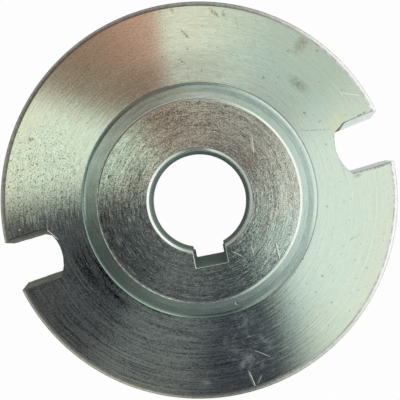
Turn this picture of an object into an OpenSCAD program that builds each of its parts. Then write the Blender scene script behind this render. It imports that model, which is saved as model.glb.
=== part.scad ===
// Blade flange of a brush cutter: a turned steel disc with a keyed hub.
// The blade seats on the front of the flange plate, outside the raised shoulder,
// and is driven through the two slots in the rim. The hub behind the plate slides
// onto the output shaft. It rests on the back of its hub, front face up.
// Origin on the bore axis at the back of the hub, +Z towards the front.

/* [Flange plate] */
// Diameter over the rim
plate_d = 102; // [90:0.5:125]
// Thickness of the plate
plate_t = 6; // [4:0.25:9]
// Width of the shallow bevel on the rim's front edge
rim_bevel_w = 1.5; // [0.5:0.1:2.5]
// Height of the shallow bevel on the rim's front edge
rim_bevel_h = 0.6; // [0.2:0.1:1.5]
// Bevel on the rim's back edge
back_bevel = 0.5; // [0.2:0.1:1]

/* [Raised front] */
// Diameter of the shoulder where it meets the plate
shoulder_d = 59.5; // [56:0.5:68]
// Height of the shoulder over the plate
shoulder_rise = 1.5; // [1.3:0.1:4]
// Width of the shallow bevel on the shoulder's edge
shoulder_bevel_w = 1; // [0.3:0.1:1.4]
// Height of the shallow bevel on the shoulder's edge
shoulder_bevel_h = 0.45; // [0.2:0.05:1]
// Diameter of the boss
boss_d = 51.5; // [48:0.5:53]
// Height of the boss over the shoulder
boss_rise = 1.2; // [0.8:0.1:3]
// Width of the shallow bevel on the boss's edge
boss_bevel_w = 0.7; // [0.2:0.1:1.2]
// Height of the shallow bevel on the boss's edge
boss_bevel_h = 0.4; // [0.2:0.1:0.7]

/* [Rear hub] */
// Diameter of the hub behind the plate
hub_d = 46; // [42:0.5:52]
// Length of the hub behind the plate
hub_len = 12.3; // [10:0.1:20]
// Bevel on the hub's back edge
hub_bevel = 1; // [0.3:0.1:1.5]
// Inside radius in the corner between hub and plate
hub_fillet = 1.5; // [0.5:0.1:2.5]

/* [Bore] */
// Diameter of the bore that the shaft fits
bore_d = 25; // [20:0.5:26]
// Bevel at the bore's front mouth
bore_bevel = 0.7; // [0.3:0.05:1.2]
// Length of the fitting part of the bore, behind its bevel
land_len = 8.8; // [5:0.1:10]
// Diameter of the wider bore behind the fitting part
relief_d = 29; // [27:0.5:31]
// Bevel at the back mouth of the wider bore
relief_bevel = 1; // [0.3:0.1:1.5]

/* [Keyway] */
// Width of the key
key_w = 8; // [5:0.5:10]
// Gap on each side of the key
key_gap = 0.1; // [0:0.01:0.2]
// Distance from the bore axis to the bottom of the keyway
key_reach = 16.4; // [15.6:0.1:17.5]
// Direction of the keyway, turned from +X towards +Y
key_angle = -96.8; // [-180:0.2:180]

/* [Rim slots] */
// Number of slots round the rim
slot_count = 2; // [1:1:4]
// Width of a slot at the plate's front face
slot_w = 12.9; // [8:0.1:16]
// How far a slot reaches in from the rim
slot_depth = 13.7; // [8:0.1:14]
// Radius of the slot's inner end
slot_end_r = 11; // [9:0.5:20]
// Offset of the slot's middle from the bore axis
slot_offset = 1.4; // [0:0.1:3]
// How much nearer the middle the leading wall stands at the back
lead_draft = 1.4; // [0:0.05:1.8]
// How much nearer the middle the trailing wall stands at the back
trail_draft = 0.75; // [0:0.05:1.8]
// Angle by which each wall opens towards the rim
slot_flare = 1.5; // [0:0.25:3]

/* [Hidden] */
$fn = 180;

plate_r = plate_d / 2;
shoulder_r = shoulder_d / 2;
boss_r = boss_d / 2;
hub_r = hub_d / 2;
bore_r = bore_d / 2;
relief_r = relief_d / 2;

// Heights over the back of the hub
plate_back = hub_len;
plate_front = plate_back + plate_t;
shoulder_top = plate_front + shoulder_rise;
boss_top = shoulder_top + boss_rise;
land_back = boss_top - bore_bevel - land_len;

keyway_w = key_w + 2 * key_gap;
slot_inner_x = plate_r - slot_depth;

// How far a cut runs past the surface it opens
past = 1;
// Side of the blocks that bound a slot
block = 2 * plate_d;

// What an arc of radius r leaves in the corner at the origin of the first quadrant
module round_corner(r) {
    difference() {
        square(r);
        translate([r, r]) circle(r);
    }
}

// Triangle in the corner at the origin of the first quadrant
module bevel_corner(width, height) {
    polygon([[0, 0], [width, 0], [0, height]]);
}

// Half section of the turned body
module body_section() {
    difference() {
        union() {
            square([hub_r, plate_front]);
            translate([0, plate_back]) square([plate_r, plate_t]);
            translate([0, plate_back]) square([shoulder_r, shoulder_top - plate_back]);
            translate([0, plate_back]) square([boss_r, boss_top - plate_back]);
            translate([hub_r, plate_back]) mirror([0, 1]) round_corner(hub_fillet);
        }
        translate([plate_r, plate_front]) rotate(180) bevel_corner(rim_bevel_w, rim_bevel_h);
        translate([plate_r, plate_back]) mirror([1, 0]) bevel_corner(back_bevel, back_bevel);
        translate([shoulder_r, shoulder_top]) rotate(180) bevel_corner(shoulder_bevel_w, shoulder_bevel_h);
        translate([boss_r, boss_top]) rotate(180) bevel_corner(boss_bevel_w, boss_bevel_h);
        translate([hub_r, 0]) mirror([1, 0]) bevel_corner(hub_bevel, hub_bevel);
        bore_section();
    }
}

// Half section of the stepped bore, open at both ends
module bore_section() {
    translate([0, -past]) square([bore_r, boss_top + 2 * past]);
    translate([0, -past]) square([relief_r, land_back + past]);
    translate([bore_r, boss_top]) mirror([0, 1]) bevel_corner(bore_bevel, bore_bevel);
    translate([relief_r, 0]) bevel_corner(relief_bevel, relief_bevel);
}

// Straight keyway through the whole length of the bore
module keyway() {
    rotate(key_angle)
        translate([0, -keyway_w / 2, -past])
            cube([key_reach, keyway_w, boss_top + 2 * past]);
}

// Everything on the open side of a slot wall that stands at y on the plate's front face.
// side is 1 for the wall at higher y and -1 for the other.
module wall_side(y, draft, side) {
    translate([slot_inner_x, y, plate_front])
        rotate([0, 0, side * slot_flare])
            rotate([-side * atan(draft / plate_t), 0, 0])
                translate([-block / 2, side > 0 ? -block : 0, -block / 2])
                    cube(block);
}

// One rim slot, open towards +X: an arc at its inner end and two tapered walls
module rim_slot() {
    intersection() {
        union() {
            translate([slot_inner_x + slot_end_r, slot_offset, plate_back - past])
                cylinder(r = slot_end_r, h = plate_t + 2 * past);
            translate([slot_inner_x + slot_end_r, -block / 2, plate_back - past])
                cube([block, block, plate_t + 2 * past]);
        }
        wall_side(slot_offset + slot_w / 2, lead_draft, 1);
        wall_side(slot_offset - slot_w / 2, trail_draft, -1);
    }
}

module blade_flange() {
    color("lightsteelblue")
        difference() {
            rotate_extrude() body_section();
            keyway();
            for (i = [0 : slot_count - 1])
                rotate(360 * i / slot_count) rim_slot();
        }
}

blade_flange();
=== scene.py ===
import math
import random

import bmesh
import bpy
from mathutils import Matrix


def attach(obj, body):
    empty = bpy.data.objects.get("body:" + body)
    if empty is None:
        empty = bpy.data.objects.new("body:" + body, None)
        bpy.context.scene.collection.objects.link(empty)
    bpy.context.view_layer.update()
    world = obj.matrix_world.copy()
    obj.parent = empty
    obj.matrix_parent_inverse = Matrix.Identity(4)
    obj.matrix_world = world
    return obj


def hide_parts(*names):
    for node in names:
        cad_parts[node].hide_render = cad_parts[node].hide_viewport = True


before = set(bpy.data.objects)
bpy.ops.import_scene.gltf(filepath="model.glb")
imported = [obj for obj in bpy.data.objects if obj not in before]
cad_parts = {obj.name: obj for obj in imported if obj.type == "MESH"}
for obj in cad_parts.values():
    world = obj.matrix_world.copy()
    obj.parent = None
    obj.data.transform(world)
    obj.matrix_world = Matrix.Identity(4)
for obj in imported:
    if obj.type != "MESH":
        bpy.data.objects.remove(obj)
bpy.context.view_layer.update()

# All lengths below are in millimetres; MM turns them into the frame's metres.
MM = 0.001

# Turned body
PLATE_R = 51.0
PLATE_BACK = 12.3
PLATE_FRONT = 18.3
RIM_BEVEL_WIDTH = 1.5
RIM_BEVEL_DROP = 0.6
RIM_BACK_BEVEL = 0.5
SHOULDER_R = 29.75
SHOULDER_TOP = 19.8
SHOULDER_BEVEL_WIDTH = 1.0
SHOULDER_BEVEL_DROP = 0.45
BOSS_R = 25.75
BOSS_TOP = 21.0
BOSS_BEVEL_WIDTH = 0.7
BOSS_BEVEL_DROP = 0.4
HUB_R = 23.0
HUB_BEVEL = 1.0
HUB_FILLET = 1.5
BORE_R = 12.5
BORE_BEVEL = 0.7
LAND_BACK = 11.5
RELIEF_R = 14.5
RELIEF_BEVEL = 1.0
GROOVE_WIDTH = 0.35
GROOVE_DEPTH = 0.1
BROKEN_EDGE = 0.08
TURN_STEPS = 360

# Keyway
KEYWAY_W = 8.2
KEYWAY_REACH = 16.4
KEYWAY_TURN = math.radians(-96.8)
KEYWAY_CORNER = 0.3

# Rim slots
SLOT_W = 12.9
SLOT_INNER_X = 37.3
SLOT_END_R = 11.0
SLOT_OFFSET = 1.4
LEAD_DRAFT = 1.4
TRAIL_DRAFT = 0.75
SLOT_FLARE = math.tan(math.radians(1.5))
# How far each slot's leading wall, trailing wall and inner end stand off the drawing, and how
# much more its leading wall opens
RIGHT_SLOT_FIT = (-0.35, -0.2, -0.2, 0.044)
LEFT_SLOT_FIT = (0.0, 0.45, 0.2, 0.0)
# Width of the rough bevel on the trailing wall's front edge, at its inner end and at the rim
RIGHT_SLOT_BEVEL = (0.0, 0.0)
LEFT_SLOT_BEVEL = (0.75, 0.3)
# The corner between a slot's arc and its upper wall is cut off by a slanting face: which wall,
# a point of the face's front edge, and how far it runs out per mm across, at the front and back
RIGHT_SLOT_CORNER = (1, 38.0, 5.9, 1.7, 0.0)
LEFT_SLOT_CORNER = (-1, 37.5, 1.4, 0.65, 1.8)
WALL_STEPS = 26
ARC_STEPS = 30
PAST = 1.0

# How far the photographed object is turned from the row frame, clockwise
PHOTO_TURN = math.radians(17.8)
# Slope off the upright at which the surroundings' sectors meet
POLE = (0.096, 0.0589)
CAMERA_LENS = 37.4
CAMERA_AT = (0.00077, 0.00008, 0.1243)
CAMERA_SHIFT = (-0.0131, 0.0054)
# The camera looks this much past the upright, to the right and down
CAMERA_LEAN = 0.0065
FLOOR_SHARE = 0.97

# Scratches and lines on the plate: start, end, width and strength
DARK_SCRATCHES = [
    ((8.7, 42.8), (9.9, 40.3), 0.8, 1.0),
    ((17.5, 45.6), (18.7, 43.4), 1.3, 0.9),
    ((20.0, 43.4), (20.4, 43.0), 1.3, 0.7),
    ((5.8, 35.8), (7.1, 34.4), 0.6, 0.7),
    ((23.0, 41.6), (22.6, 38.3), 0.5, 0.5),
    ((28.8, 9.5), (38.2, 7.0), 0.5, 0.5),
    ((37.5, 3.8), (37.2, -6.7), 0.5, 0.4),
    ((33.2, -21.4), (36.2, -20.7), 0.8, 0.5),
    ((35.3, -29.4), (35.5, -29.6), 0.9, 0.7),
    ((23.7, -27.7), (23.9, -27.9), 0.9, 0.7),
    ((-28.9, 18.0), (-26.5, 18.2), 0.7, 0.5),
    ((35.2, 10.2), (35.4, 10.0), 1.0, 0.7),
    ((-36.2, 27.9), (-35.8, 27.9), 1.6, 0.9),
    ((40.0, 27.3), (40.2, 27.1), 1.1, 0.8),
    ((33.0, 29.5), (33.2, 29.4), 1.0, 0.8),
    ((8.0, 48.9), (8.0, 47.9), 1.0, 0.8),
    ((42.7, 7.8), (47.5, 8.8), 0.4, 1.0),
    ((39.5, -5.6), (50.0, -5.9), 0.5, 0.9),
    ((-41.0, -8.6), (-49.0, -8.9), 0.9, 0.9),
]
LIGHT_SCRATCHES = [
    ((42.3, 15.5), (47.3, 13.2), 0.55, 0.7),
    ((-1.5, -45.4), (-1.1, -50.0), 0.7, 0.8),
    ((1.3, -47.4), (-0.4, -49.3), 0.45, 0.4),
    ((-5.0, -38.3), (1.1, -40.5), 0.5, 0.25),
    ((1.1, -40.5), (4.9, -43.6), 0.5, 0.45),
    ((-46.0, 6.8), (-45.9, 6.8), 0.5, 1.0),
    ((-39.8, 5.3), (-37.4, 1.5), 0.6, 1.0),
]
BOSS_SCRATCHES = [
    ((17.1, 11.3), (16.3, 7.2), 0.7, 0.9),
    ((14.8, -15.9), (14.5, -20.1), 0.7, 1.0),
    ((8.6, -14.6), (8.7, -17.0), 0.5, 0.6),
    ((3.9, -14.7), (5.8, -16.5), 0.5, 0.7),
]
# Stains on the plate: middle, length, width, turn in degrees, colour
STAINS = [
    ((33.0, 20.6), 9.0, 4.2, -55, (0.4, 0.32, 0.24)),
    ((37.0, 30.2), 9.0, 4.5, 35, (0.45, 0.35, 0.26)),
    ((40.4, -6.2), 3.2, 1.6, 0, (0.45, 0.35, 0.26)),
    ((39.7, 9.3), 8.0, 5.0, 40, (0.97, 0.92, 0.66)),
]
# Rust and dirt on the boss: middle, length, width, turn in degrees, colour
BOSS_STAINS = [
    ((-23.8, -7.2), 3.8, 2.0, -70, (0.8, 0.5, 0.36)),
    ((-19.5, 12.6), 1.6, 1.1, 20, (0.08, 0.08, 0.07)),
    ((15.5, 5.4), 5.0, 3.4, 40, (0.5, 0.4, 0.4)),
]
# Bright nicks on the rim's bevel at the right slot
RIM_NICKS = [
    ((48.7, 9.9), (49.1, 9.1), 0.8, 1.0),
    ((49.7, 9.2), (50.0, 8.5), 0.7, 0.9),
]
# Chips in the rim's front edge: place, size
RIM_CHIPS = [
    ((29.3, -42.1), 1.0),
    ((-35.1, -37.1), 0.8),
    ((50.3, 9.8), 0.9),
    ((8.3, 50.6), 0.7),
]


class Wire:
    """One output of a node tree. Arithmetic on it adds Math nodes to that tree."""

    def __init__(self, tree, socket=None):
        self.tree = tree
        self.socket = socket

    def node(self, kind, settings=None, inputs=None, output=0):
        """Adds a node, its settings first and then the values or wires of its inputs."""
        made = self.tree.nodes.new(kind)
        for name, value in (settings or {}).items():
            if name == "stops":
                fill_ramp(made.color_ramp, value)
            else:
                setattr(made, name, value)
        for name, value in (inputs or {}).items():
            if isinstance(value, Wire):
                self.tree.links.new(value.socket, made.inputs[name])
            else:
                made.inputs[name].default_value = value
        return Wire(self.tree, made.outputs[output]) if made.outputs else None

    def math(self, operation, *values):
        return self.node("ShaderNodeMath", {"operation": operation}, dict(enumerate(values)))

    def __add__(self, other):
        return self.math("ADD", self, other)

    def __radd__(self, other):
        return self.math("ADD", other, self)

    def __sub__(self, other):
        return self.math("SUBTRACT", self, other)

    def __rsub__(self, other):
        return self.math("SUBTRACT", other, self)

    def __mul__(self, other):
        return self.math("MULTIPLY", self, other)

    def __rmul__(self, other):
        return self.math("MULTIPLY", other, self)

    def __truediv__(self, other):
        return self.math("DIVIDE", self, other)

    def __rtruediv__(self, other):
        return self.math("DIVIDE", other, self)

    def step(self, low, high):
        """0 below low, 1 above high and smooth between them."""
        return self.node(
            "ShaderNodeMapRange",
            {"interpolation_type": "SMOOTHSTEP"},
            {"Value": self, "From Min": low, "From Max": high},
        )

    def blend(self, first, second):
        """The first colour where this is 0 and the second where it is 1."""
        return self.node(
            "ShaderNodeMix",
            {"data_type": "RGBA"},
            {0: self, 6: colour(first), 7: colour(second)},
            2,
        )

    def split(self):
        """The x, y and z of a vector."""
        made = self.node("ShaderNodeSeparateXYZ", None, {0: self})
        return [Wire(self.tree, out) for out in made.socket.node.outputs]


def colour(value):
    """A colour socket's value, with an opaque alpha."""
    return value if isinstance(value, Wire) else (*value, 1.0)


def fill_ramp(ramp, stops):
    """Gives a colour ramp its (place, colour) stops."""
    while len(ramp.elements) > 1:
        ramp.elements.remove(ramp.elements[-1])
    ramp.elements[0].position = stops[0][0]
    ramp.elements[0].color = colour(stops[0][1])
    for place, shade in stops[1:]:
        ramp.elements.new(place).color = colour(shade)


# Shaping


def select_only(piece):
    bpy.ops.object.select_all(action="DESELECT")
    piece.select_set(True)
    bpy.context.view_layer.objects.active = piece


def unit(x, y):
    length = math.hypot(x, y)
    return (x / length, y / length)


def rounded(corners):
    """Rounds each (radius, height, rounding, steps) corner of a closed section.
    A point stands close beside each rounding, which keeps the shading of the flat next to it flat."""
    section = []
    for i, (x, y, rounding, steps) in enumerate(corners):
        before = corners[i - 1]
        after = corners[(i + 1) % len(corners)]
        to_before = unit(before[0] - x, before[1] - y)
        to_after = unit(after[0] - x, after[1] - y)
        half = math.acos(max(-1, min(1, to_before[0] * to_after[0] + to_before[1] * to_after[1]))) / 2
        reach = rounding / math.tan(half)
        middle_way = unit(to_before[0] + to_after[0], to_before[1] + to_after[1])
        middle = (
            x + middle_way[0] * rounding / math.sin(half),
            y + middle_way[1] * rounding / math.sin(half),
        )
        start = (x + to_before[0] * reach, y + to_before[1] * reach)
        end = (x + to_after[0] * reach, y + to_after[1] * reach)
        support = 0.04
        section.append((start[0] + to_before[0] * support, start[1] + to_before[1] * support))
        first = math.atan2(start[1] - middle[1], start[0] - middle[0])
        last = math.atan2(end[1] - middle[1], end[0] - middle[0])
        sweep = (last - first + math.pi) % (2 * math.pi) - math.pi
        for k in range(steps + 1):
            angle = first + sweep * k / steps
            section.append(
                (middle[0] + rounding * math.cos(angle), middle[1] + rounding * math.sin(angle))
            )
        section.append((end[0] + to_after[0] * support, end[1] + to_after[1] * support))
    return section


def crowned_edge(radius, top, width, drop):
    """The corners of an outer front edge whose bevel is slightly crowned: flatter inside, steeper outside."""
    return [
        (radius - width, top, 0.3, 3),
        (radius - width * 0.45, top - drop * 0.4, 1.2, 4),
        (radius, top - drop, 0.2, 3),
    ]


def turned_body():
    """The body as the lathe leaves it: its half section, spun once round the bore axis."""
    edge = BROKEN_EDGE
    corners = [
        (BORE_R, LAND_BACK, edge, 2),
        (BORE_R, BOSS_TOP - BORE_BEVEL, 0.6, 5),
        (BORE_R + BORE_BEVEL, BOSS_TOP, edge, 2),
        *crowned_edge(BOSS_R, BOSS_TOP, BOSS_BEVEL_WIDTH, BOSS_BEVEL_DROP),
        (BOSS_R, SHOULDER_TOP, 0.12, 3),
        *crowned_edge(SHOULDER_R, SHOULDER_TOP, SHOULDER_BEVEL_WIDTH, SHOULDER_BEVEL_DROP),
        (SHOULDER_R, PLATE_FRONT - GROOVE_DEPTH, 0.04, 1),
        (SHOULDER_R + GROOVE_WIDTH / 2, PLATE_FRONT - GROOVE_DEPTH, 0.03, 1),
        (SHOULDER_R + GROOVE_WIDTH, PLATE_FRONT, 0.03, 1),
        *crowned_edge(PLATE_R, PLATE_FRONT, RIM_BEVEL_WIDTH, RIM_BEVEL_DROP),
        (PLATE_R, PLATE_BACK + RIM_BACK_BEVEL, edge, 2),
        (PLATE_R - RIM_BACK_BEVEL, PLATE_BACK, edge, 2),
        (HUB_R, PLATE_BACK, HUB_FILLET, 6),
        (HUB_R, HUB_BEVEL, edge, 2),
        (HUB_R - HUB_BEVEL, 0.0, edge, 2),
        (RELIEF_R + RELIEF_BEVEL, 0.0, edge, 2),
        (RELIEF_R, RELIEF_BEVEL, edge, 2),
        (RELIEF_R, LAND_BACK, 0.2, 3),
    ]
    section = rounded(corners)
    bpy.ops.object.select_all(action="DESELECT")
    bpy.ops.mesh.primitive_circle_add(vertices=len(section), fill_type="NOTHING")
    body = bpy.context.object
    body.name = "turned_flange"
    for vertex, (radius, height) in zip(body.data.vertices, section):
        vertex.co = (radius * MM, 0.0, height * MM)
    bpy.ops.object.mode_set(mode="EDIT")
    bpy.ops.mesh.select_all(action="SELECT")
    bpy.ops.mesh.spin(steps=TURN_STEPS, angle=2 * math.pi, center=(0, 0, 0), axis=(0, 0, 1))
    tidy_mesh()
    bpy.ops.object.mode_set(mode="OBJECT")
    return body


def tidy_mesh():
    """Merges doubled points and turns all faces outwards, in edit mode."""
    bpy.ops.mesh.select_all(action="SELECT")
    bpy.ops.mesh.remove_doubles(threshold=0.002 * MM)
    bpy.ops.mesh.normals_make_consistent(inside=False)


def cutter(name, outline, heights):
    """A closed tool body: the outline at the first height, extruded through the others.
    outline(height, level) gives its points, as many at each height."""
    base = outline(heights[0], 0)
    bpy.ops.object.select_all(action="DESELECT")
    bpy.ops.mesh.primitive_circle_add(vertices=len(base), fill_type="NGON")
    tool = bpy.context.object
    tool.name = name
    for vertex, (x, y) in zip(tool.data.vertices, base):
        vertex.co = (x * MM, y * MM, heights[0] * MM)
    bpy.ops.object.mode_set(mode="EDIT")
    bpy.ops.mesh.select_all(action="SELECT")
    for low, high in zip(heights, heights[1:]):
        bpy.ops.mesh.extrude_region_move(
            TRANSFORM_OT_translate={"value": (0, 0, (high - low) * MM)}
        )
    bpy.ops.object.mode_set(mode="OBJECT")
    column = {place_key(vertex.co): i for i, vertex in enumerate(tool.data.vertices[: len(base)])}
    rows = [outline(height, level) for level, height in enumerate(heights)]
    for vertex in tool.data.vertices:
        level = min(range(len(heights)), key=lambda k: abs(heights[k] * MM - vertex.co.z))
        x, y = rows[level][column[place_key(vertex.co)]]
        vertex.co.x = x * MM
        vertex.co.y = y * MM
    bpy.ops.object.mode_set(mode="EDIT")
    tidy_mesh()
    bpy.ops.object.mode_set(mode="OBJECT")
    return tool


def place_key(place):
    return (round(place.x / MM, 3), round(place.y / MM, 3))


def widened(points, widths):
    """Moves each point of an outline outwards by its own width."""
    moved = []
    for i, (x, y) in enumerate(points):
        before = points[i - 1]
        after = points[(i + 1) % len(points)]
        along = unit(after[0] - before[0], after[1] - before[1])
        moved.append((x + along[1] * widths[i], y - along[0] * widths[i]))
    return moved


def slot_outline(height, fit, corner):
    """The slot's outline at a height over the back of the hub, counterclockwise."""
    lead_shift, trail_shift, end_shift, lead_turn = fit
    side, corner_x, corner_y, front_run, back_run = corner
    rise = (height - PLATE_FRONT) / (PLATE_FRONT - PLATE_BACK)
    middle_x = SLOT_INNER_X + SLOT_END_R + end_shift
    out_x = PLATE_R + 2 * PAST

    def lead_y(x):
        flare = SLOT_FLARE + lead_turn
        return SLOT_OFFSET + SLOT_W / 2 + lead_shift + (x - SLOT_INNER_X) * flare + rise * LEAD_DRAFT

    def trail_y(x):
        return (
            SLOT_OFFSET - SLOT_W / 2 + trail_shift - (x - SLOT_INNER_X) * SLOT_FLARE - rise * TRAIL_DRAFT
        )

    def end_x(y):
        run = front_run + rise * (front_run - back_run)
        arc_x = middle_x - math.sqrt(SLOT_END_R ** 2 - (y - SLOT_OFFSET) ** 2)
        return max(arc_x, corner_x + (side * y - corner_y) * run)

    def meeting_x(wall_y):
        x = SLOT_INNER_X
        for _ in range(12):
            x = end_x(wall_y(x))
        return x

    lead_x = meeting_x(lead_y)
    trail_x = meeting_x(trail_y)
    points = []
    for k in range(WALL_STEPS):
        x = trail_x + (out_x - trail_x) * k / (WALL_STEPS - 1)
        points.append((x, trail_y(x)))
    for k in range(WALL_STEPS):
        x = out_x + (lead_x - out_x) * k / (WALL_STEPS - 1)
        points.append((x, lead_y(x)))
    first = math.asin((lead_y(lead_x) - SLOT_OFFSET) / SLOT_END_R)
    last = math.asin((trail_y(trail_x) - SLOT_OFFSET) / SLOT_END_R)
    for k in range(1, ARC_STEPS):
        y = SLOT_OFFSET + SLOT_END_R * math.sin(first + (last - first) * k / ARC_STEPS)
        points.append((end_x(y), y))
    return points


def slot_cutter(name, seed, turned, fit, corner, bevel):
    """The tool body of one slot, with the upright score marks that the cut leaves."""
    draw = random.Random(seed)
    count = len(slot_outline(PLATE_FRONT, fit, corner))
    scores = [draw.gauss(0, 0.025) for _ in range(count)]
    edges = [0.08 + 0.1 * draw.random() for _ in range(count)]
    bevels = [0.0] * count
    for k in range(WALL_STEPS):
        bevels[k] = bevel[0] + (bevel[1] - bevel[0]) * k / (WALL_STEPS - 1)
    heights = [PLATE_BACK - PAST, PLATE_BACK, PLATE_BACK + 0.15]
    heights += [PLATE_BACK + 1.0 + 0.95 * k for k in range(5)]
    heights += [PLATE_FRONT - 0.15, PLATE_FRONT, PLATE_FRONT + PAST]
    last = len(heights) - 1

    def outline(height, level):
        points = slot_outline(height, fit, corner)
        widths = []
        for i in range(count):
            width = scores[i] * (1.0 if 2 <= level <= last - 2 else 0.5)
            if 2 < level < last - 2:
                width += draw.gauss(0, 0.012)
            if level in (1, last - 1):
                width += edges[i]
            if level in (0, last):
                width += edges[i] + PAST
            if level >= last - 2:
                width += bevels[i] * (0.85 if level == last - 2 else 1.0)
            widths.append(width)
        points = widened(points, widths)
        return [(-x, -y) for x, y in points] if turned else points

    return cutter(name, outline, heights)


def keyway_cutter():
    """The tool body of the keyway, with slightly rounded inner corners and broken edges."""
    half = KEYWAY_W / 2
    corner = KEYWAY_CORNER
    base = [(0.0, -half), (KEYWAY_REACH - corner, -half)]
    for k in range(1, 4):
        angle = -math.pi / 2 + k * math.pi / 6
        base.append(
            (
                KEYWAY_REACH - corner + corner * math.cos(angle),
                -half + corner + corner * math.sin(angle),
            )
        )
    base += [(x, -y) for x, y in reversed(base)]
    turn = (math.cos(KEYWAY_TURN), math.sin(KEYWAY_TURN))
    edge = 0.12
    heights = [-PAST, 0.0, edge, BOSS_TOP - edge, BOSS_TOP, BOSS_TOP + PAST]
    extra = [edge + PAST, edge, 0.0, 0.0, edge, edge + PAST]

    def outline(height, level):
        points = widened(base, [extra[level]] * len(base))
        return [(x * turn[0] - y * turn[1], x * turn[1] + y * turn[0]) for x, y in points]

    return cutter("keyway_broach", outline, heights)


def chip_cutter(name, place, size, seed):
    """A small rough lump that knocks a chip out of the rim's front edge."""
    draw = random.Random(seed)
    bpy.ops.object.select_all(action="DESELECT")
    bpy.ops.mesh.primitive_ico_sphere_add(subdivisions=2, radius=size * MM)
    lump = bpy.context.object
    lump.name = name
    for vertex in lump.data.vertices:
        vertex.co *= draw.uniform(0.75, 1.1)
        vertex.co.x += place[0] * MM
        vertex.co.y += place[1] * MM
        vertex.co.z += (PLATE_FRONT + 0.2) * MM
    return lump


def cut(piece, tool):
    """Takes the tool body out of the piece."""
    select_only(piece)
    step = piece.modifiers.new("cut", "BOOLEAN")
    step.operation = "DIFFERENCE"
    step.solver = "EXACT"
    step.object = tool
    bpy.ops.object.modifier_apply(modifier=step.name)
    bpy.data.objects.remove(tool)


def drop_folds(piece):
    """Takes away the folded slivers that cuts can leave: corners that only two edges reach."""
    mesh = bmesh.new()
    mesh.from_mesh(piece.data)
    tips = [corner for corner in mesh.verts if len(corner.link_edges) == 2]
    bmesh.ops.dissolve_verts(mesh, verts=tips)
    mesh.to_mesh(piece.data)
    mesh.free()


def shape_flange():
    """Turned body, keyway, the two rim slots and the chips in the rim."""
    flange = turned_body()
    cut(flange, keyway_cutter())
    punch = slot_cutter("right_slot_punch", 3, False, RIGHT_SLOT_FIT, RIGHT_SLOT_CORNER, RIGHT_SLOT_BEVEL)
    cut(flange, punch)
    punch = slot_cutter("left_slot_punch", 8, True, LEFT_SLOT_FIT, LEFT_SLOT_CORNER, LEFT_SLOT_BEVEL)
    cut(flange, punch)
    for i, (place, size) in enumerate(RIM_CHIPS):
        cut(flange, chip_cutter("rim_chip", place, size, i))
    select_only(flange)
    bpy.ops.object.mode_set(mode="EDIT")
    tidy_mesh()
    bpy.ops.object.mode_set(mode="OBJECT")
    drop_folds(flange)
    bpy.ops.object.shade_smooth_by_angle(angle=math.radians(30))
    return flange


# Finishes


def disc_place(tree):
    """Place on the disc in millimetres: the vector, its x, y and z, and the distance from the axis."""
    start = Wire(tree)
    here = start.node("ShaderNodeTexCoord", output="Object")
    here = start.node(
        "ShaderNodeVectorMath", {"operation": "SCALE"}, {0: here, "Scale": 1 / MM}
    )
    x, y, z = here.split()
    radius = start.math("SQRT", x * x + y * y)
    return here, x, y, z, radius


def noise(place, scale, detail=2.0, roughness=0.5, dimensions="3D"):
    """A noise between 0 and 1, about 0.5 on average."""
    where = "W" if dimensions == "1D" else "Vector"
    return place.node(
        "ShaderNodeTexNoise",
        {"noise_dimensions": dimensions},
        {where: place, "Scale": scale, "Detail": detail, "Roughness": roughness},
    )


def turning_marks(place, x, y, radius, round_scale, across_scale, detail=2.0):
    """A noise drawn out along circles round the axis."""
    way = place.node(
        "ShaderNodeCombineXYZ",
        None,
        {0: x / radius * round_scale, 1: y / radius * round_scale, 2: radius * across_scale},
    )
    return noise(way, 1.0, detail)


def spot(place, middle, length, width, turn=0.0):
    """1 at the middle of a long spot, falling to 0 at its border."""
    way = place.node(
        "ShaderNodeMapping",
        {"vector_type": "TEXTURE"},
        {
            "Vector": place,
            "Location": (middle[0], middle[1], 0.0),
            "Rotation": (0.0, 0.0, turn),
            "Scale": (length / 2, width / 2, 1000.0),
        },
    )
    return place.node("ShaderNodeTexGradient", {"gradient_type": "SPHERICAL"}, {0: way}, "Fac")


def scratches(place, marks):
    """The strongest of the marks at each place."""
    total = None
    for start, end, width, strength in marks:
        middle = ((start[0] + end[0]) / 2, (start[1] + end[1]) / 2)
        run = (end[0] - start[0], end[1] - start[1])
        one = spot(place, middle, math.hypot(*run) * 1.2 + width, width, math.atan2(run[1], run[0]))
        one = one.step(0.0, 0.6) * strength
        total = one if total is None else total.math("MAXIMUM", total, one)
    return total


def surface(tree, shade, height, roughness, metallic=1.0, anisotropic=0.0, specular=0.5):
    """Joins colour, bump height in millimetres and roughness into the finish's surface."""
    start = Wire(tree)
    bump = start.node(
        "ShaderNodeBump", None, {"Strength": 1.0, "Distance": MM, "Height": height}
    )
    shader = start.node(
        "ShaderNodeBsdfPrincipled",
        None,
        {
            "Base Color": colour(shade),
            "Roughness": roughness,
            "Metallic": metallic,
            "Specular IOR Level": specular,
            "Anisotropic": anisotropic,
            "Anisotropic Rotation": 0.25 if anisotropic else 0.0,
            "Normal": bump,
        },
    )
    start.node("ShaderNodeOutputMaterial", None, {"Surface": shader})


def new_finish(name):
    finish = bpy.data.materials.new(name)
    finish.use_nodes = True
    finish.node_tree.nodes.clear()
    return finish, finish.node_tree


BLACK = (0.0, 0.0, 0.0)


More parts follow.
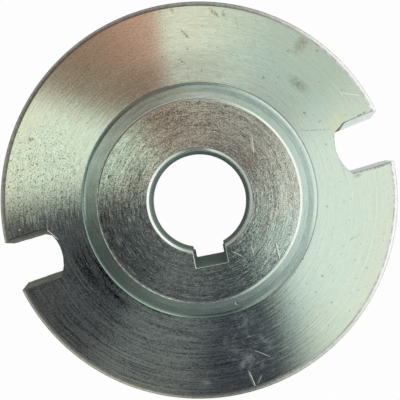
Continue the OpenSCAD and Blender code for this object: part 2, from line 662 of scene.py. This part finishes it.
def turned_plate_finish():
    """Bright zinc over fine turning marks, on the flange plate's front."""
    finish, tree = new_finish("turned_plate_zinc")
    here, x, y, z, radius = disc_place(tree)
    calm = spot(here, (36, -8), 110, 60, math.radians(77)).step(0.0, 0.5)
    worn = spot(here, (-38, 16), 40, 30, math.radians(60)).step(0.0, 0.6)
    dull = spot(here, (-24, -26), 100, 64, math.radians(-43)).step(0.0, 0.6)
    sandy = spot(here, (-11.0, 40.0), 56, 26, math.radians(20)).step(0.0, 0.6)
    force = 1.0 - calm * 0.55 + worn * 0.5 - sandy * 0.4
    streaks = turning_marks(here, x, y, radius, 10.0, 2.4)
    dashes = turning_marks(here, x, y, radius, 34.0, 3.6)
    arcs = turning_marks(here, x, y, radius, 3.0, 2.2, 3.0)
    brushed = turning_marks(here, x, y, radius, 12.0, 4.0, 4.0).step(0.35, 0.85)
    lines = turning_marks(here, x, y, radius, 2.2, 4.5).step(0.54, 0.7)
    rings = noise(radius, 1.6, 3.0, 0.6, "1D")
    grain = noise(here, 2.8, 3.0, 0.7)
    clouds = spot(here, (0.5, -39.5), 26, 15, math.radians(-80)).step(0.0, 0.6)
    clouds = (clouds + spot(here, (-11.5, -44.0), 11, 6)).step(0.0, 1.0)
    clouds = clouds * noise(here, 0.3, 5.0, 0.62).step(0.42, 0.68)
    pits = noise(here, 1.1, 1.0).step(0.71, 0.75)
    specks = noise(here, 2.2, 1.0).step(0.6, 0.66)
    dark_marks = scratches(here, DARK_SCRATCHES) * noise(here, 1.8, 3.0).step(0.36, 0.6)
    light_marks = scratches(here, LIGHT_SCRATCHES)
    height = (streaks * 0.012 + dashes * 0.006 + grain * 0.003) * force + rings * 0.01
    height = height - dark_marks * 0.015 + light_marks * 0.03
    value = 0.88 + (rings - 0.5) * 0.14 + (streaks - 0.5) * 0.12 - pits * 0.3
    value = value + (dashes - 0.5) * force * 0.3 + (grain - 0.5) * force * 0.3 - specks * worn * 0.5
    value = value + (arcs - 0.56) * dull * 1.6 + (grain - 0.5) * (dull * 2.0 + worn * 0.9 + sandy * 0.9)
    # Painted shade: the last term darkens a patch over the plate's inner left
    value = value + ((dashes - 0.5) * 0.6 + lines * 0.4 - 0.06) * dull - spot(here, (-30.5, -10.0), 28, 12, -1.25).step(0.0, 0.7) * 0.38
    # Painted shade: a thin dark ring on the plate along the groove at the shoulder's foot
    painted_foot_shade = 1.0 - radius.step(SHOULDER_R + GROOVE_WIDTH, SHOULDER_R + GROOVE_WIDTH + 0.35)
    value = value - painted_foot_shade * 0.4 - spot(here, (3.2, 31.8), 40, 16).step(0.0, 0.6) * 0.18
    cool = (0.94, 1.0, 0.99)
    warm = (1.0, 0.985, 0.93)
    warmth = radius.step(36, 50) * 0.8 + (noise(here, 0.18, 3.0) - 0.5) * 2.0
    tint = (warmth + spot(here, (39.0, 9.0), 12, 7, 0.3) * 1.5).blend(cool, warm)
    shade = value.blend(BLACK, tint)
    shade = (dark_marks * 0.7).blend(shade, (0.16, 0.15, 0.13))
    for middle, length, width, turn, stained in STAINS:
        stain = spot(here, middle, length, width, math.radians(turn)).step(0.0, 1.0)
        shade = (stain * noise(here, 1.7, 3.0).step(0.28, 0.56) * 0.65).blend(shade, stained)
    shade = (light_marks * (1.0 - dull * 0.4)).blend(shade, (1.0, 1.0, 1.0))
    shade = (clouds * 0.6).blend(shade, (0.76, 0.82, 1.0))
    roughness = 0.1 + brushed * force * 0.16 + clouds * 0.12 + light_marks * dull * 0.25
    surface(tree, shade, height, roughness, metallic=1.0 - clouds * 0.2, anisotropic=0.85)
    return finish


def faced_boss_finish():
    """Zinc over the coarser marks of the facing cut, on the boss."""
    finish, tree = new_finish("faced_boss_zinc")
    here, x, y, z, radius = disc_place(tree)
    streaks = turning_marks(here, x, y, radius, 12.0, 2.6)
    dashes = turning_marks(here, x, y, radius, 16.0, 3.4)
    arcs = turning_marks(here, x, y, radius, 2.5, 1.6, 4.0)
    brushed = turning_marks(here, x, y, radius, 10.0, 4.5, 4.0).step(0.35, 0.85)
    rings = noise(radius, 1.9, 3.0, 0.6, "1D")
    grain = noise(here, 3.6, 2.0, 0.7)
    cuts = scratches(here, BOSS_SCRATCHES)
    height = streaks * 0.02 + dashes * 0.012 + rings * 0.01 + grain * 0.006 + cuts * 0.02
    value = 0.66 + (rings - 0.5) * 0.25 + (streaks - 0.5) * 0.4 + (arcs - 0.5) * 0.9
    value = value + (dashes - 0.5) * 0.7 + (grain - 0.5) * 2.0
    # Painted light and shade: the outer part of the boss lighter on the right and darker on the left
    value = value + (radius.step(14.0, 24.0) - 0.5) * 0.2 * (x / radius)
    fresh = spot(here, (-16.0, 18.0), 38, 17, 0.75).step(0.0, 0.7)
    value = value + fresh * 0.12 - spot(here, (6.0, 21.0), 26, 12).step(0.0, 0.7) * 0.14
    value = value - spot(here, (-13.2, 9.4), 13, 7, 1.0).step(0.0, 0.7) * 0.18
    upward = x * 0.3 + y * 0.95 + (noise(here, 0.16, 2.0) - 0.5) * 60
    tint = upward.step(-14.0, 14.0).blend((0.92, 1.0, 1.0), (1.0, 0.95, 0.92))
    tint = fresh.blend(tint, (0.92, 1.02, 0.98))
    shade = value.blend(BLACK, tint)
    for middle, length, width, turn, stained in BOSS_STAINS:
        stain = spot(here, middle, length, width, math.radians(turn)).step(0.0, 0.6)
        shade = (stain * noise(here, 1.6, 3.0).step(0.3, 0.6) * 0.8).blend(shade, stained)
    shade = cuts.blend(shade, (1.0, 0.98, 0.93))
    surface(tree, shade, height, 0.11 + brushed * 0.26, anisotropic=0.75)
    return finish


def smooth_shoulder_finish():
    """Smooth, slightly satin zinc on the shoulder."""
    finish, tree = new_finish("smooth_shoulder_zinc")
    here, x, y, z, radius = disc_place(tree)
    rings = noise(radius, 2.2, 2.0, 0.5, "1D")
    streaks = turning_marks(here, x, y, radius, 8.0, 2.0)
    grain = noise(here, 1.6, 2.0)
    pit = scratches(here, [((1.0, -27.5), (1.1, -27.5), 0.9, 1.0)])
    height = rings * 0.006 + grain * 0.003 + streaks * 0.01 - pit * 0.05
    # Painted shade: the shoulder darker towards its upper left, where its outer ring is spared the darkening
    # it gets elsewhere
    painted_side_shade = ((y * 0.466 - x * 0.885) / radius).step(0.1, 0.7)
    outer = radius.step(27.2, 27.7)
    value = 0.9 - outer * (0.2 - painted_side_shade * 0.2) + (rings - 0.5) * 0.3 - painted_side_shade * 0.28
    value = value + (streaks - 0.5) * 0.4 + (grain - 0.5) * 0.2 - pit * 0.3
    # Painted light and shade: the shoulder darker towards the top and the left, lighter towards the right
    value = value - ((x * 0.17 + y * 0.98) / radius).step(0.5, 1.0) * 0.08
    value = value - ((y * 0.049 - x * 0.9988) / radius).step(0.8, 1.0) * 0.13
    value = value + ((x * 0.94 + y * 0.34) / radius).step(0.7, 1.0) * 0.1
    green = ((y * -0.533 - x * 0.846) / radius).step(0.2, 0.85)
    shade = value.blend(BLACK, green.blend((0.87, 0.98, 1.0), (0.84, 1.0, 0.94)))
    surface(tree, shade, height, 0.25, anisotropic=0.4)
    return finish


def bright_edge_finish():
    """The smooth cut bevels of bore, boss and shoulder, with painted shade on some sides and a painted teal
    reflection on their upper side.
    """
    finish, tree = new_finish("bright_edge_zinc")
    here, x, y, z, radius = disc_place(tree)
    dents = noise(here, 1.4, 3.0)
    height = dents * 0.012
    outer = radius.step(26.5, 27.5)
    # Painted shade: the shoulder's bevel is darker, most of all towards the bottom
    below = ((x * 0.378 - y * 0.926) / radius).step(0.7, 0.95)
    # Painted shade: the boss's bevel is darker towards its lower left
    left = ((x * -0.889 - y * 0.457) / radius).step(0.0, 0.6) * radius.step(20.0, 24.0) * (1.0 - outer)
    value = 0.94 + (dents - 0.5) * 0.3 - outer * (0.15 + below * 0.3)
    value = value - left * (noise(here, 0.9, 3.0).step(0.35, 0.6) * 0.35 + 0.1)
    # Painted reflection: a darker teal over the upper side of the bore's and boss's bevels
    above = ((y * 0.92 - x * 0.4) / radius).step(0.45, 0.9)
    green = ((y * -0.533 - x * 0.846) / radius).step(0.2, 0.85)
    teal = above.blend(green.blend((0.9, 1.0, 0.99), (0.78, 1.0, 0.95)), (0.52, 0.68, 0.7))
    shade = value.blend(BLACK, outer.blend((0.98, 1.0, 0.96), teal))
    surface(tree, shade, height, 0.14)
    return finish


def rim_edge_finish():
    """The plate's handled rim bevel, brownish, with a dark burr line where it begins."""
    finish, tree = new_finish("rim_edge_zinc")
    here, x, y, z, radius = disc_place(tree)
    dents = noise(here, 1.1, 3.0)
    grain = noise(here, 3.0, 2.0)
    burr_start = PLATE_R - RIM_BEVEL_WIDTH
    burr = 1.0 - (radius + (dents - 0.5) * 0.5).step(burr_start + 0.4, burr_start + 0.7)
    height = dents * 0.05 + grain * 0.01
    # Painted highlight: the rim's bevel lighter and whiter towards the right
    right = ((x * 0.952 - y * 0.306) / radius).step(0.2, 0.9)
    value = 0.76 + right * 0.25 + (dents - 0.5) * 0.5 + (grain - 0.5) * 0.3
    value = value - radius.step(PLATE_R - 0.6, PLATE_R - 0.1) * 0.35
    shade = value.blend(BLACK, right.blend((1.0, 0.97, 0.92), (1.0, 1.0, 1.0)))
    burr = burr * (0.6 - right * noise(here, 0.7, 3.0).step(0.4, 0.6) * 0.3)
    shade = burr.blend(shade, (0.3, 0.27, 0.25))
    shade = scratches(here, RIM_NICKS).blend(shade, (1.0, 1.0, 1.0))
    surface(tree, shade, height, 0.26)
    return finish


def bore_finish():
    """The dull wall of the bore and keyway, dark partly for its duller plating and partly as painted shade
    inside the hole.
    """
    finish, tree = new_finish("dark_bore")
    here, x, y, z, radius = disc_place(tree)
    bands = noise(z, 2.0, 2.0, 0.5, "1D")
    grain = noise(here, 2.0, 2.0)
    height = bands * 0.004 + grain * 0.004
    value = 0.42 + (bands - 0.5) * 0.08 + (grain - 0.5) * 0.1
    shade = value.blend(BLACK, (0.78, 1.0, 0.98))
    surface(tree, shade, height, 0.8, metallic=0.0, specular=0.1)
    return finish


def slot_marks(here, x, y, z):
    """Score marks up the wall of a slot, and its grain."""
    flat = here.node("ShaderNodeCombineXYZ", None, {0: x * 0.5, 1: y * 0.5, 2: z * 2.2})
    return noise(flat, 1.0, 3.0), noise(here, 2.4, 3.0, 0.6)


def scored_slot_finish():
    """The right slot's walls, scored by the cut: the upper wall lighter as painted light, with painted shade
    along the front edge and in the corner by the arc.
    """
    finish, tree = new_finish("scored_slot_zinc")
    here, x, y, z, radius = disc_place(tree)
    scores, grain = slot_marks(here, x, y, z)
    height = scores * 0.08 + grain * 0.03
    # Painted light: the upper wall lighter than the lower
    value = 0.62 + y.step(0.0, 4.0) * 0.23 + (scores - 0.5) * 0.5 + (grain - 0.5) * 0.5
    shade = value.blend(BLACK, (0.92, 1.0, 0.99))
    # Painted shade along the wall's front edge
    lip = z.step(PLATE_FRONT - 0.5, PLATE_FRONT - 0.1)
    # Painted shade: the upper wall's inner corner by the arc
    painted_corner_shade = (1.0 - x.step(41.0, 41.8)) * y.step(2.0, 3.0)
    shade = (lip * 0.5 + painted_corner_shade).blend(shade, (0.1, 0.095, 0.06))
    surface(tree, shade, height, 0.45)
    return finish


def dull_shaded_slot_finish():
    """The left slot's dull walls, dark as painted shade, with more painted shade along the front edge."""
    finish, tree = new_finish("dull_shaded_slot_steel")
    here, x, y, z, radius = disc_place(tree)
    scores, grain = slot_marks(here, x, y, z)
    height = scores * 0.08 + grain * 0.03
    # Painted shade: the walls' dark colour
    value = 0.2 + (scores - 0.5) * 0.3 + (grain - 0.5) * 0.25
    shade = value.blend(BLACK, (0.95, 1.0, 0.9))
    # Painted shade along the wall's front edge
    lip = z.step(PLATE_FRONT - 0.5, PLATE_FRONT - 0.1)
    shade = (lip * 0.7).blend(shade, (0.03, 0.03, 0.025))
    surface(tree, shade, height, 0.6, metallic=0.0, specular=0.2)
    return finish


def plain_back_finish():
    """Satin zinc on the hub, the rim's side and the back of the plate."""
    finish, tree = new_finish("plain_back_zinc")
    here, x, y, z, radius = disc_place(tree)
    rings = noise(radius + z, 1.4, 3.0, 0.6, "1D")
    grain = noise(here, 1.6, 2.0)
    height = rings * 0.02 + grain * 0.012
    value = 0.52 + (rings - 0.5) * 0.2 + (grain - 0.5) * 0.2
    shade = value.blend(BLACK, (0.96, 1.0, 0.96))
    surface(tree, shade, height, 0.34)
    return finish


def dress_flange(flange):
    """Gives each face of the flange the finish of its zone."""
    finishes = [
        turned_plate_finish(),
        faced_boss_finish(),
        smooth_shoulder_finish(),
        bright_edge_finish(),
        rim_edge_finish(),
        bore_finish(),
        scored_slot_finish(),
        dull_shaded_slot_finish(),
        plain_back_finish(),
    ]
    for finish in finishes:
        flange.data.materials.append(finish)
    for face in flange.data.polygons:
        face.material_index = zone_of(face)


def zone_of(face):
    """The number of the finish that a face takes, in the order of dress_flange."""
    plate, boss, shoulder, edge, rim, bore, right_slot, left_slot, back = range(9)
    middle = face.center / MM
    radius = math.hypot(middle.x, middle.y)
    facing = face.normal.z
    if middle.z < RELIEF_BEVEL:
        return back
    if radius < KEYWAY_REACH + 0.8 and facing < 0.3:
        return bore
    if middle.z < PLATE_BACK + 0.05:
        return back
    slot = right_slot if middle.x > 0 else left_slot
    outwards = (face.normal.x * middle.x + face.normal.y * middle.y) / radius
    if 0.3 <= facing < 0.99:
        if radius > PLATE_R - RIM_BEVEL_WIDTH - 0.3 and outwards > 0.12:
            return rim
        return slot if radius > SLOT_INNER_X - 2 else edge
    if facing >= 0.99:
        if radius < BOSS_R:
            return boss
        return shoulder if radius < SHOULDER_R else plate
    if radius < SHOULDER_R + GROOVE_WIDTH:
        return edge
    if radius > PLATE_R - 0.02:
        return back
    return slot


# Studio


def paper_floor():
    """A plain white floor that keeps the object's shadow."""
    bpy.ops.object.select_all(action="DESELECT")
    bpy.ops.mesh.primitive_plane_add(size=3.0, location=(0, 0, -0.05 * MM))
    floor = bpy.context.object
    floor.name = "paper_floor"
    finish, tree = new_finish("white_paper")
    start = Wire(tree)
    rays = [
        start.node("ShaderNodeLightPath", output=ray)
        for ray in ("Is Camera Ray", "Is Glossy Ray", "Is Transmission Ray")
    ]
    seen = start.math("MAXIMUM", start.math("MAXIMUM", rays[0], rays[1]), rays[2])
    paper = start.node("ShaderNodeBsdfDiffuse", None, {"Color": (0.95, 0.95, 0.95, 1)})
    glow = start.node("ShaderNodeEmission", None, {"Color": (1, 1, 1, 1), "Strength": 1.0})
    both = start.node("ShaderNodeMixShader", None, {0: seen * FLOOR_SHARE, 1: paper, 2: glow})
    start.node("ShaderNodeOutputMaterial", None, {"Surface": both})
    floor.data.materials.append(finish)


def surroundings():
    """Soft studio surroundings: bright walls with a dark gap, warmer on one side, and white to the camera."""
    world = bpy.data.worlds.new("studio_surroundings")
    bpy.context.scene.world = world
    world.use_nodes = True
    tree = world.node_tree
    tree.nodes.clear()
    start = Wire(tree)
    way = start.node("ShaderNodeTexCoord", output="Generated")
    x, y, z = way.split()

    def clockwise(across, along):
        """The share of a full turn at which a direction lies, clockwise from the photograph's right."""
        turn = start.math("ARCTAN2", along, across) * (-1 / (2 * math.pi))
        return start.math("FRACT", turn - PHOTO_TURN / (2 * math.pi))

    def ring(turn, stops):
        stops = [(degrees / 360, shade) for degrees, shade in stops]
        return start.node("ShaderNodeValToRGB", {"stops": stops}, {0: turn})

    across = x - z * POLE[0]
    along = y - z * POLE[1]
    pale = (0.77, 0.865, 0.75)
    deep = (0.048, 0.057, 0.068)
    grey = (0.155, 0.17, 0.165)
    shadow = (0.072, 0.077, 0.079)
    cream = (0.8, 0.88, 0.69)
    brown = (0.26, 0.19, 0.13)
    tan = (0.36, 0.225, 0.155)
    russet = (0.55, 0.335, 0.24)
    ivory = (0.75, 0.78, 0.62)
    sage = (0.5, 0.6, 0.51)
    before = [
        (0, pale), (52, pale), (63, (0.64, 0.76, 0.66)), (76, deep), (95, deep), (104, grey),
        (121, grey), (129, shadow), (165, shadow), (174, cream), (196, cream),
    ]
    behind = [(204, brown), (214, brown), (224, tan), (236, russet), (262, russet)]
    beside = [(204, ivory), (258, ivory)]
    after = [(273, (0.6, 0.7, 0.58)), (290, sage), (318, sage), (348, pale)]
    round_pole = clockwise(across, along)
    # The brown sector ends at a straight border, which passes the pole on its left
    right = across * math.cos(PHOTO_TURN) - along * math.sin(PHOTO_TURN)
    up = across * math.sin(PHOTO_TURN) + along * math.cos(PHOTO_TURN)
    past_border = ((right + up * 0.137) / z + 0.133).step(-0.015, 0.015) * (up / z).step(0.1, 0.16)
    overhead = past_border.blend(
        ring(round_pole, before + behind + after), ring(round_pole, before + beside + after)
    )
    white = (1.0, 1.02, 0.98)
    mint = (0.6, 0.68, 0.6)
    mist = (0.2, 0.22, 0.21)
    beige = (0.38, 0.37, 0.3)
    umber = (0.13, 0.125, 0.11)
    around = clockwise(x, y)
    horizon = ring(
        around,
        [
            (0, white), (20, white), (40, mint), (58, mint), (72, mist), (92, mist), (104, beige),
            (125, beige), (150, mist), (172, umber), (240, umber), (275, mist), (290, mint), (310, white),
        ],
    )
    glare = (0.75, 0.78, 0.74)
    haze = (0.5, 0.54, 0.5)
    dusk = (0.36, 0.38, 0.36)
    low = ring(
        around,
        [
            (0, white), (20, white), (45, glare), (62, mint), (78, mist), (94, mist), (104, glare),
            (120, mint), (138, haze), (180, haze), (205, dusk), (245, dusk), (285, haze), (305, white),
        ],
    )
    seen = z.step(0.1, 0.4).blend(low, horizon)
    seen = z.step(0.5, 0.68).blend(seen, overhead)
    above = along - 0.03
    middle = 1.0 - start.math("SQRT", across * across + above * above).step(0.05, 0.17)
    seen = middle.blend(seen, (0.32, 0.28, 0.25))
    light = start.node("ShaderNodeBackground", None, {"Color": seen, "Strength": 1.0})
    backdrop = start.node("ShaderNodeBackground", None, {"Color": (1, 1, 1, 1), "Strength": 1.0})
    camera_ray = start.node("ShaderNodeLightPath", output="Is Camera Ray")
    both = start.node("ShaderNodeMixShader", None, {0: camera_ray, 1: light, 2: backdrop})
    start.node("ShaderNodeOutputWorld", None, {"Surface": both})


def place_camera():
    """Looks nearly straight down on the front, from the photograph's distance."""
    data = bpy.data.cameras.new("camera")
    camera = bpy.data.objects.new("camera", data)
    bpy.context.scene.collection.objects.link(camera)
    camera.location = CAMERA_AT
    camera.rotation_euler = (-CAMERA_LEAN, -CAMERA_LEAN, -PHOTO_TURN)
    data.lens = CAMERA_LENS
    data.sensor_width = 36.0
    data.clip_start = 0.005
    data.shift_x, data.shift_y = CAMERA_SHIFT
    bpy.context.scene.camera = camera


place_camera()
surroundings()
paper_floor()
flange = shape_flange()
dress_flange(flange)
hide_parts("blade_flange")
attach(flange, "root")

bpy.context.scene.view_settings.view_transform = "Standard"
